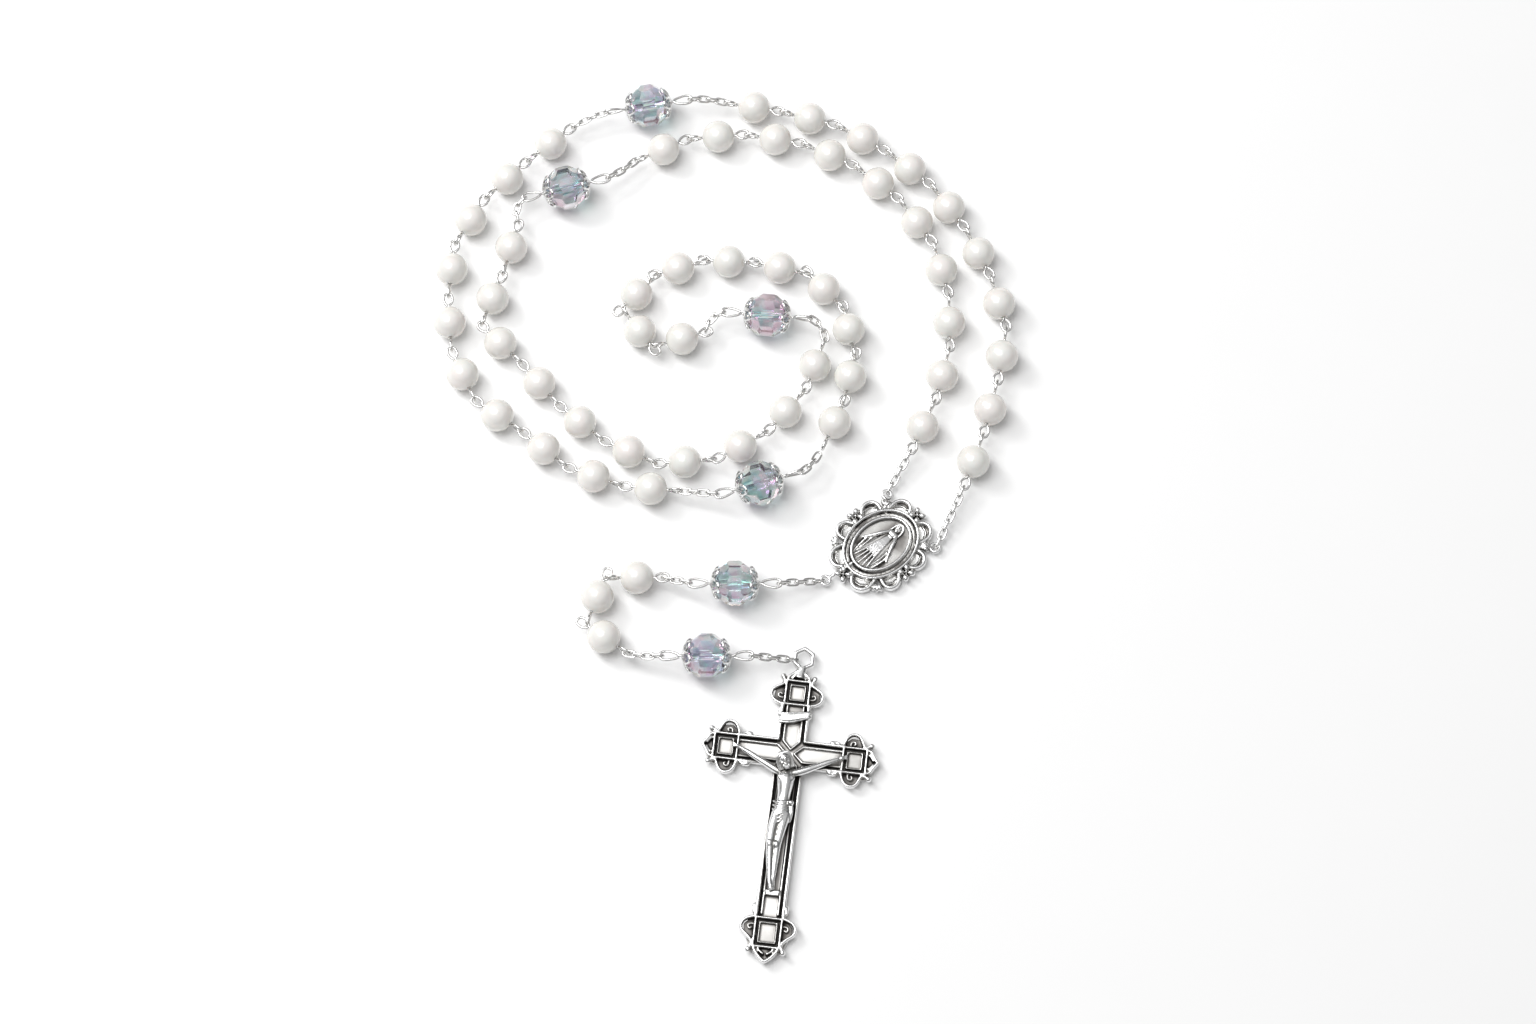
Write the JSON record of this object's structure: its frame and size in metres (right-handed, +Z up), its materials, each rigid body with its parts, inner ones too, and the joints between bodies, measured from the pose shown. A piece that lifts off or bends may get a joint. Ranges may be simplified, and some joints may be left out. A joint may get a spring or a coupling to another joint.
{
  "type": "rosary",
  "caption": "Rosary of white pearls and faceted crystals on wire eye pins and link chain, with an oval centre medal and a crucifix, for counting prayers.",
  "frame": {"origin": "middle of the centre medal's flat back face, on the table plane", "axes": "+Z up from the table the rosary lies on, +Y towards the far end of the laid loop, which is its longest extent"},
  "size_m": [0.1077, 0.1685, 0.008],
  "materials": {
    "pearl": "glossy",
    "crystal": "polished",
    "cap_silver": "polished",
    "silver_wire": "polished",
    "antiqued_silver": "satin"
  },
  "bodies": {
    "medal": {"centre_medal": "antiqued_silver"},
    "chain_medal_decade1": {"chain_medal_decade1": "silver_wire"},
    "decade_1a": {"decade_1a_beads": "pearl", "decade_1a_eye_pins": "silver_wire"},
    "decade_1b": {"decade_1b_beads": "pearl", "decade_1b_eye_pins": "silver_wire"},
    "chain_decade1_crystal1": {"chain_decade1_crystal1": "silver_wire"},
    "crystal_1_pin": {"crystal_1_eye_pin": "silver_wire"},
    "crystal_1_bead": {"crystal_1": "crystal", "crystal_1_caps": "cap_silver"},
    "chain_crystal1_decade2": {"chain_crystal1_decade2": "silver_wire"},
    "decade_2a": {"decade_2a_beads": "pearl", "decade_2a_eye_pins": "silver_wire"},
    "decade_2b": {"decade_2b_beads": "pearl", "decade_2b_eye_pins": "silver_wire"},
    "chain_decade2_crystal2": {"chain_decade2_crystal2": "silver_wire"},
    "crystal_2_pin": {"crystal_2_eye_pin": "silver_wire"},
    "crystal_2_bead": {"crystal_2": "crystal", "crystal_2_caps": "cap_silver"},
    "chain_crystal2_decade3": {"chain_crystal2_decade3": "silver_wire"},
    "decade_3a": {"decade_3a_beads": "pearl", "decade_3a_eye_pins": "silver_wire"},
    "decade_3b": {"decade_3b_beads": "pearl", "decade_3b_eye_pins": "silver_wire"},
    "chain_decade5_medal": {"chain_decade5_medal": "silver_wire"},
    "decade_5b": {"decade_5b_beads": "pearl", "decade_5b_eye_pins": "silver_wire"},
    "decade_5a": {"decade_5a_beads": "pearl", "decade_5a_eye_pins": "silver_wire"},
    "chain_crystal4_decade5": {"chain_crystal4_decade5": "silver_wire"},
    "crystal_4_pin": {"crystal_4_eye_pin": "silver_wire"},
    "crystal_4_bead": {"crystal_4": "crystal", "crystal_4_caps": "cap_silver"},
    "chain_decade4_crystal4": {"chain_decade4_crystal4": "silver_wire"},
    "decade_4b": {"decade_4b_beads": "pearl", "decade_4b_eye_pins": "silver_wire"},
    "decade_4a": {"decade_4a_beads": "pearl", "decade_4a_eye_pins": "silver_wire"},
    "chain_crystal3_decade4": {"chain_crystal3_decade4": "silver_wire"},
    "crystal_3_pin": {"crystal_3_eye_pin": "silver_wire"},
    "crystal_3_bead": {"crystal_3": "crystal", "crystal_3_caps": "cap_silver"},
    "chain_decade3_crystal3": {"chain_decade3_crystal3": "silver_wire"},
    "chain_medal_crystal5": {"chain_medal_crystal5": "silver_wire"},
    "crystal_5_pin": {"crystal_5_eye_pin": "silver_wire"},
    "crystal_5_bead": {"crystal_5": "crystal", "crystal_5_caps": "cap_silver"},
    "chain_crystal5_tail": {"chain_crystal5_tail": "silver_wire"},
    "tail_pearl_1_pin": {"tail_pearl_1_eye_pins": "silver_wire"},
    "tail_pearl_1_bead": {"tail_pearl_1_beads": "pearl"},
    "tail_pearls_2_3": {"tail_pearls_2_3_beads": "pearl", "tail_pearls_2_3_eye_pins": "silver_wire"},
    "chain_tail_crystal6": {"chain_tail_crystal6": "silver_wire"},
    "crystal_6_pin": {"crystal_6_eye_pin": "silver_wire"},
    "crystal_6_bead": {"crystal_6": "crystal", "crystal_6_caps": "cap_silver"},
    "chain_crystal6_crucifix": {"chain_crystal6_crucifix": "silver_wire"},
    "crucifix": {"crucifix": "antiqued_silver", "corpus": "antiqued_silver"}
  },
  "joints": [
    {"name": "chain_medal_decade1_lift", "type": "hinge", "parent": "medal", "child": "chain_medal_decade1", "pos_m": [0.0013, 0.01059, 0.0011], "axis": [0.866, -0.5, 0], "range_deg": [-45, 10]},
    {"name": "decade_1a_lift", "type": "hinge", "parent": "chain_medal_decade1", "child": "decade_1a", "pos_m": [0.0054, 0.01706, 0.003], "axis": [-0.9063, 0.4226, 0], "range_deg": [-45, 45]},
    {"name": "decade_1b_lift", "type": "hinge", "parent": "decade_1a", "child": "decade_1b", "pos_m": [0.00453, 0.06753, 0.003], "axis": [-0.6428, -0.766, 0], "range_deg": [-45, 45]},
    {"name": "chain_decade1_crystal1_lift", "type": "hinge", "parent": "decade_1b", "child": "chain_decade1_crystal1", "pos_m": [-0.04477, 0.07625, 0.003], "axis": [-0.7071, 0.7071, 0], "range_deg": [-45, 45]},
    {"name": "crystal_1_lift", "type": "hinge", "parent": "chain_decade1_crystal1", "child": "crystal_1_pin", "pos_m": [-0.04997, 0.072, 0.004], "axis": [0.2588, -0.9659, 0], "range_deg": [-45, 45]},
    {"name": "chain_crystal1_decade2_lift", "type": "hinge", "parent": "crystal_1_pin", "child": "chain_crystal1_decade2", "pos_m": [-0.06604, 0.06769, 0.004], "axis": [-0.7071, 0.7071, 0], "range_deg": [-45, 45]},
    {"name": "decade_2a_lift", "type": "hinge", "parent": "chain_crystal1_decade2", "child": "decade_2a", "pos_m": [-0.06658, 0.06363, 0.003], "axis": [-0.9659, 0.2588, 0], "range_deg": [-45, 45]},
    {"name": "decade_2b_lift", "type": "hinge", "parent": "decade_2a", "child": "decade_2b", "pos_m": [-0.05096, 0.01985, 0.003], "axis": [0.4226, 0.9063, 0], "range_deg": [-45, 45]},
    {"name": "chain_decade2_crystal2_lift", "type": "hinge", "parent": "decade_2b", "child": "chain_decade2_crystal2", "pos_m": [-0.00969, 0.03918, 0.003], "axis": [0.9659, 0.2588, 0], "range_deg": [-45, 45]},
    {"name": "crystal_2_lift", "type": "hinge", "parent": "chain_decade2_crystal2", "child": "crystal_2_pin", "pos_m": [-0.01278, 0.0436, 0.004], "axis": [0.0872, 0.9962, 0], "range_deg": [-45, 45]},
    {"name": "chain_crystal2_decade3_lift", "type": "hinge", "parent": "crystal_2_pin", "child": "chain_crystal2_decade3", "pos_m": [-0.02885, 0.04469, 0.004], "axis": [0.342, -0.9397, 0], "range_deg": [-45, 45]},
    {"name": "decade_3a_lift", "type": "hinge", "parent": "chain_crystal2_decade3", "child": "decade_3a", "pos_m": [-0.03073, 0.04133, 0.003], "axis": [-0.2816, 0.9595, 0], "range_deg": [0, 15]},
    {"name": "decade_3b_lift", "type": "hinge", "parent": "decade_3a", "child": "decade_3b", "pos_m": [-0.02377, 0.05531, 0.003], "axis": [0.2359, 0.9718, 0], "range_deg": [-45, 45]},
    {"name": "chain_decade5_medal_lift", "type": "hinge", "parent": "medal", "child": "chain_decade5_medal", "pos_m": [0.01066, -0.00056, 0.0011], "axis": [0.9063, -0.4226, 0], "range_deg": [-25, 8]},
    {"name": "decade_5b_lift", "type": "hinge", "parent": "chain_decade5_medal", "child": "decade_5b", "pos_m": [0.01499, 0.01008, 0.003], "axis": [0.9397, -0.342, 0], "range_deg": [-45, 45]},
    {"name": "decade_5a_lift", "type": "hinge", "parent": "decade_5b", "child": "decade_5a", "pos_m": [0.01659, 0.06159, 0.003], "axis": [-0.8192, -0.5736, 0], "range_deg": [-45, 45]},
    {"name": "chain_crystal4_decade5_lift", "type": "hinge", "parent": "decade_5a", "child": "chain_crystal4_decade5", "pos_m": [-0.02806, 0.08787, 0.003], "axis": [-0.1736, -0.9848, 0], "range_deg": [-45, 45]},
    {"name": "crystal_4_lift", "type": "hinge", "parent": "chain_crystal4_decade5", "child": "crystal_4_pin", "pos_m": [-0.03473, 0.08827, 0.004], "axis": [-0.1736, 0.9848, 0], "range_deg": [-45, 45]},
    {"name": "chain_decade4_crystal4_lift", "type": "hinge", "parent": "crystal_4_pin", "child": "chain_decade4_crystal4", "pos_m": [-0.05053, 0.08554, 0.004], "axis": [-0.2588, 0.9659, 0], "range_deg": [-45, 45]},
    {"name": "decade_4b_lift", "type": "hinge", "parent": "chain_decade4_crystal4", "child": "decade_4b", "pos_m": [-0.05677, 0.08313, 0.003], "axis": [-0.6428, 0.766, 0], "range_deg": [-45, 45]},
    {"name": "decade_4a_lift", "type": "hinge", "parent": "decade_4b", "child": "decade_4a", "pos_m": [-0.07884, 0.03784, 0.003], "axis": [0.9063, 0.4226, 0], "range_deg": [-45, 45]},
    {"name": "chain_crystal3_decade4_lift", "type": "hinge", "parent": "decade_4a", "child": "chain_crystal3_decade4", "pos_m": [-0.03659, 0.0098, 0.003], "axis": [-0.1483, -0.9889, 0], "range_deg": [-45, 45]},
    {"name": "crystal_3_lift", "type": "hinge", "parent": "chain_crystal3_decade4", "child": "crystal_3_pin", "pos_m": [-0.02994, 0.00854, 0.004], "axis": [0.2836, -0.9589, 0], "range_deg": [-45, 45]},
    {"name": "chain_decade3_crystal3_lift", "type": "hinge", "parent": "crystal_3_pin", "child": "chain_decade3_crystal3", "pos_m": [-0.01444, 0.01285, 0.004], "axis": [-0.6623, 0.7493, 0], "range_deg": [-45, 45]},
    {"name": "chain_medal_crystal5_lift", "type": "hinge", "parent": "medal", "child": "chain_medal_crystal5", "pos_m": [-0.01075, -0.00725, 0.0011], "axis": [0.1736, -0.9848, 0], "range_deg": [-45, 45]},
    {"name": "crystal_5_swing", "type": "hinge", "parent": "chain_medal_crystal5", "child": "crystal_5_pin", "pos_m": [-0.01865, -0.00837, 0.004], "axis": [0, 0, 1], "range_deg": [0, 40]},
    {"name": "chain_crystal5_tail_lift", "type": "hinge", "parent": "crystal_5_pin", "child": "chain_crystal5_tail", "pos_m": [-0.03468, -0.00837, 0.004], "axis": [-0.2588, -0.9659, 0], "range_deg": [-45, 45]},
    {"name": "tail_pearl_1_lift", "type": "hinge", "parent": "chain_crystal5_tail", "child": "tail_pearl_1_pin", "pos_m": [-0.03825, -0.00692, 0.003], "axis": [0, -1, 0], "range_deg": [-45, 35]},
    {"name": "tail_pearls_2_3_swing", "type": "hinge", "parent": "tail_pearl_1_pin", "child": "tail_pearls_2_3", "pos_m": [-0.04969, -0.00692, 0.003], "axis": [0, 0, 1], "range_deg": [-45, 8]},
    {"name": "chain_tail_crystal6_lift", "type": "hinge", "parent": "tail_pearls_2_3", "child": "chain_tail_crystal6", "pos_m": [-0.04628, -0.02114, 0.003], "axis": [-0.2588, -0.9659, 0], "range_deg": [-45, 35]},
    {"name": "crystal_6_swing", "type": "hinge", "parent": "chain_tail_crystal6", "child": "crystal_6_pin", "pos_m": [-0.03906, -0.02206, 0.004], "axis": [0, 0, 1], "range_deg": [-45, 20]},
    {"name": "chain_crystal6_crucifix_lift", "type": "hinge", "parent": "crystal_6_pin", "child": "chain_crystal6_crucifix", "pos_m": [-0.02303, -0.02206, 0.004], "axis": [0, -1, 0], "range_deg": [-45, 45]},
    {"name": "crucifix_swing", "type": "hinge", "parent": "chain_crystal6_crucifix", "child": "crucifix", "pos_m": [-0.015, -0.02206, 0.0013], "axis": [0, 0, 1], "range_deg": [-30, 40]},
    {"name": "crystal_1_spin", "type": "hinge", "parent": "crystal_1_pin", "child": "crystal_1_bead", "pos_m": [-0.05801, 0.06984, 0.004], "axis": [-0.9659, -0.2588, 0], "continuous": true},
    {"name": "crystal_2_spin", "type": "hinge", "parent": "crystal_2_pin", "child": "crystal_2_bead", "pos_m": [-0.02056, 0.04397, 0.004], "axis": [-0.9962, 0.0872, 0], "continuous": true},
    {"name": "crystal_4_spin", "type": "hinge", "parent": "crystal_4_pin", "child": "crystal_4_bead", "pos_m": [-0.04293, 0.08682, 0.004], "axis": [-0.9848, -0.1736, 0], "continuous": true},
    {"name": "crystal_3_spin", "type": "hinge", "parent": "crystal_3_pin", "child": "crystal_3_bead", "pos_m": [-0.02196, 0.0109, 0.004], "axis": [0.9589, 0.2836, 0], "continuous": true},
    {"name": "crystal_5_spin", "type": "hinge", "parent": "crystal_5_pin", "child": "crystal_5_bead", "pos_m": [-0.02636, -0.00837, 0.004], "axis": [-1, 0, 0], "continuous": true},
    {"name": "tail_pearl_1_spin", "type": "hinge", "parent": "tail_pearl_1_pin", "child": "tail_pearl_1_bead", "pos_m": [-0.04397, -0.00692, 0.003], "axis": [-1, 0, 0], "continuous": true},
    {"name": "crystal_6_spin", "type": "hinge", "parent": "crystal_6_pin", "child": "crystal_6_bead", "pos_m": [-0.03135, -0.02206, 0.004], "axis": [1, 0, 0], "continuous": true}
  ]
}
